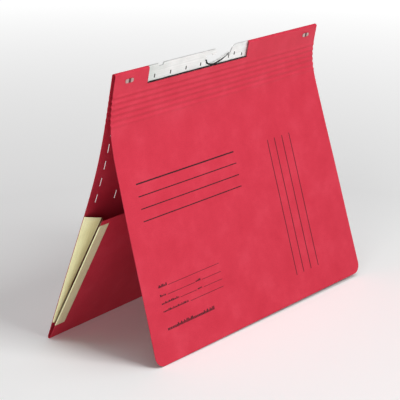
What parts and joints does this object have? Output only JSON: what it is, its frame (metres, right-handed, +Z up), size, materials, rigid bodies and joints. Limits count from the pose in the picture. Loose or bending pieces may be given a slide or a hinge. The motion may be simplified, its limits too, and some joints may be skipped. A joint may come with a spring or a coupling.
{
  "type": "suspension file",
  "caption": "A4 suspension file of folded card on a steel hanger strip with a hook nose, standing open, with an expanding pocket inside the rear cover.",
  "frame": {"origin": "middle of the footprint, on the surface the file stands on", "axes": "+X along the ridge, -Y towards the front cover, +Z up"},
  "size_m": [0.318, 0.134, 0.2526],
  "materials": {
    "red_card": "matte pressboard",
    "gusset_cloth": "linen weave, matte",
    "hanger_steel": "bright galvanised, satin"
  },
  "bodies": {
    "spine": {"spine_card_left": "red_card", "spine_card_right": "red_card", "spine_card_front_band": "red_card", "spine_card_rear_band": "red_card", "hanger_rail": "hanger_steel", "clinch_clip_left": "hanger_steel", "clinch_clip_right": "hanger_steel"},
    "front_score_1": {"front_score_strip_1": "red_card"},
    "front_score_2": {"front_score_strip_2": "red_card"},
    "front_cover": {"front_cover": "red_card"},
    "rear_score_1": {"rear_score_strip_1": "red_card"},
    "rear_score_2": {"rear_score_strip_2": "red_card"},
    "rear_cover": {"rear_cover": "red_card", "pocket_bottom_fold": "red_card", "gusset_rear_flange_left": "gusset_cloth", "gusset_rear_flange_right": "gusset_cloth"},
    "pocket": {"pocket_panel": "red_card", "gusset_front_flange_left": "gusset_cloth", "gusset_front_flange_right": "gusset_cloth"},
    "rear_web_left": {"gusset_rear_web_left": "gusset_cloth"},
    "front_web_left": {"gusset_front_web_left": "gusset_cloth"},
    "rear_web_right": {"gusset_rear_web_right": "gusset_cloth"},
    "front_web_right": {"gusset_front_web_right": "gusset_cloth"}
  },
  "joints": [
    {"name": "front_cover_open", "type": "hinge", "parent": "spine", "child": "front_score_1", "pos_m": [0, -0.01363, 0.23151], "axis": [-1, 0, 0], "range_deg": [0, 72.5]},
    {"name": "file_close", "type": "hinge", "parent": "front_score_1", "child": "front_score_2", "pos_m": [0, -0.01111, 0.21876], "axis": [-1, 0, 0], "range_deg": [-23, 0]},
    {"name": "front_crease_3", "type": "hinge", "parent": "front_score_2", "child": "front_cover", "pos_m": [0, -0.01432, 0.20616], "axis": [-1, 0, 0], "range_deg": [0, 72.5]},
    {"name": "rear_cover_swing", "type": "hinge", "parent": "spine", "child": "rear_score_1", "pos_m": [0, -0.0103, 0.23217], "axis": [1, 0, 0], "range_deg": [0, 30]},
    {"name": "rear_crease_2", "type": "hinge", "parent": "rear_score_1", "child": "rear_score_2", "pos_m": [0, -0.0072, 0.21954], "axis": [1, 0, 0], "range_deg": [0, 30]},
    {"name": "rear_crease_3", "type": "hinge", "parent": "rear_score_2", "child": "rear_cover", "pos_m": [0, -0.00355, 0.20707], "axis": [1, 0, 0], "range_deg": [0, 30]},
    {"name": "pocket_fold", "type": "hinge", "parent": "rear_cover", "child": "pocket", "pos_m": [0, 0.06578, 0.00127], "axis": [1, 0, 0], "range_deg": [-7.4, 0]},
    {"name": "gusset_rear_left", "type": "hinge", "parent": "rear_cover", "child": "rear_web_left", "pos_m": [-0.1588, 0.06613, 0.00139], "axis": [0, 0.3239, -0.9461], "range_deg": [-30, 0]},
    {"name": "gusset_front_left", "type": "hinge", "parent": "pocket", "child": "front_web_left", "pos_m": [-0.1588, 0.06513, 0.00095], "axis": [0, -0.4431, 0.8965], "range_deg": [-30, 0]},
    {"name": "gusset_rear_right", "type": "hinge", "parent": "rear_cover", "child": "rear_web_right", "pos_m": [0.1588, 0.06613, 0.00139], "axis": [0, -0.3239, 0.9461], "range_deg": [-30, 0]},
    {"name": "gusset_front_right", "type": "hinge", "parent": "pocket", "child": "front_web_right", "pos_m": [0.1588, 0.06513, 0.00095], "axis": [0, 0.4431, -0.8965], "range_deg": [-30, 0]}
  ],
  "couplings": [
    {"joint": "front_crease_3", "follows": "front_cover_open", "ratio": 1},
    {"joint": "pocket_fold", "follows": "file_close", "ratio": 0.32174},
    {"joint": "gusset_rear_left", "follows": "file_close", "ratio": 1.3043},
    {"joint": "gusset_front_left", "follows": "file_close", "ratio": 1.3043},
    {"joint": "gusset_rear_right", "follows": "file_close", "ratio": 1.3043},
    {"joint": "gusset_front_right", "follows": "file_close", "ratio": 1.3043},
    {"joint": "rear_crease_2", "follows": "rear_cover_swing", "ratio": 1},
    {"joint": "rear_crease_3", "follows": "rear_cover_swing", "ratio": 1}
  ]
}
